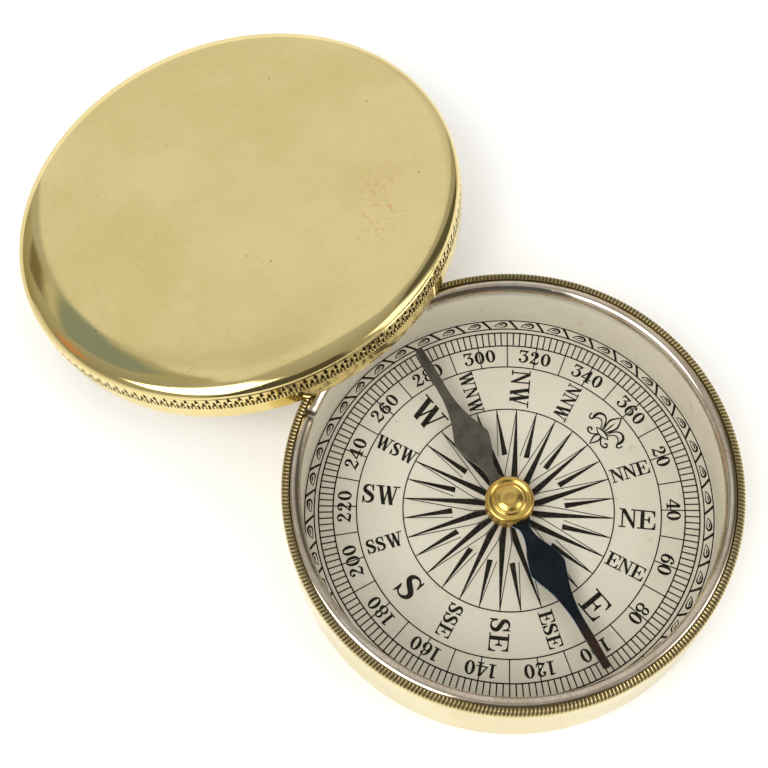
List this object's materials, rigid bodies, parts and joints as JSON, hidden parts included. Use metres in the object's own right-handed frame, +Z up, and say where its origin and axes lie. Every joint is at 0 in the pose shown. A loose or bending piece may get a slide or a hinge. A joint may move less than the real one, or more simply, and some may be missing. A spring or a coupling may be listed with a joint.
{
  "type": "pocket compass",
  "caption": "Turned brass pocket compass: glazed round case with printed degree dial, pivoting steel needle, split retaining ring and a loose slip-on lid leaning on the rim.",
  "frame": {"origin": "centre of the case's flat underside, on the needle's axis", "axes": "+Z up along the needle's axis, +Y towards the dial's north (360 degrees), +X towards the dial's 90 degrees"},
  "size_m": [0.1359, 0.0757, 0.0248],
  "materials": {
    "case_brass": "polished, tarnished in the milled edge",
    "lid_brass": "polished, fine scratches",
    "cap_brass": "bright turned and lacquered",
    "plate_brass": "plain",
    "ring_silver": "polished white metal",
    "dial_card": "aged cream paper, printed",
    "liner_card": "aged cream",
    "pin_steel": "hardened and ground",
    "blued_steel": "blued on one arm, browned on the other",
    "crystal_glass": "clear",
    "jewel_stone": "polished agate"
  },
  "bodies": {
    "case": {"case_body": "case_brass", "dial_plate": "plate_brass", "dial_card": "dial_card", "wall_liner": "liner_card", "crystal": "crystal_glass", "retaining_ring": "ring_silver", "pivot_boss": "cap_brass", "pivot_pin": "pin_steel"},
    "needle": {"needle_blade": "blued_steel", "needle_cap": "cap_brass", "cap_collar": "cap_brass", "cap_jewel": "jewel_stone"},
    "lid": {"lid_cover": "lid_brass"}
  },
  "joints": [
    {"name": "needle_spin", "type": "hinge", "parent": "case", "child": "needle", "pos_m": [0, 0, 0.0058], "axis": [0, 0, 1], "continuous": true},
    {"name": "lid_lift", "type": "slide", "parent": "case", "child": "lid", "axis": [0, 0, 1], "range_m": [0, 0.04]}
  ]
}
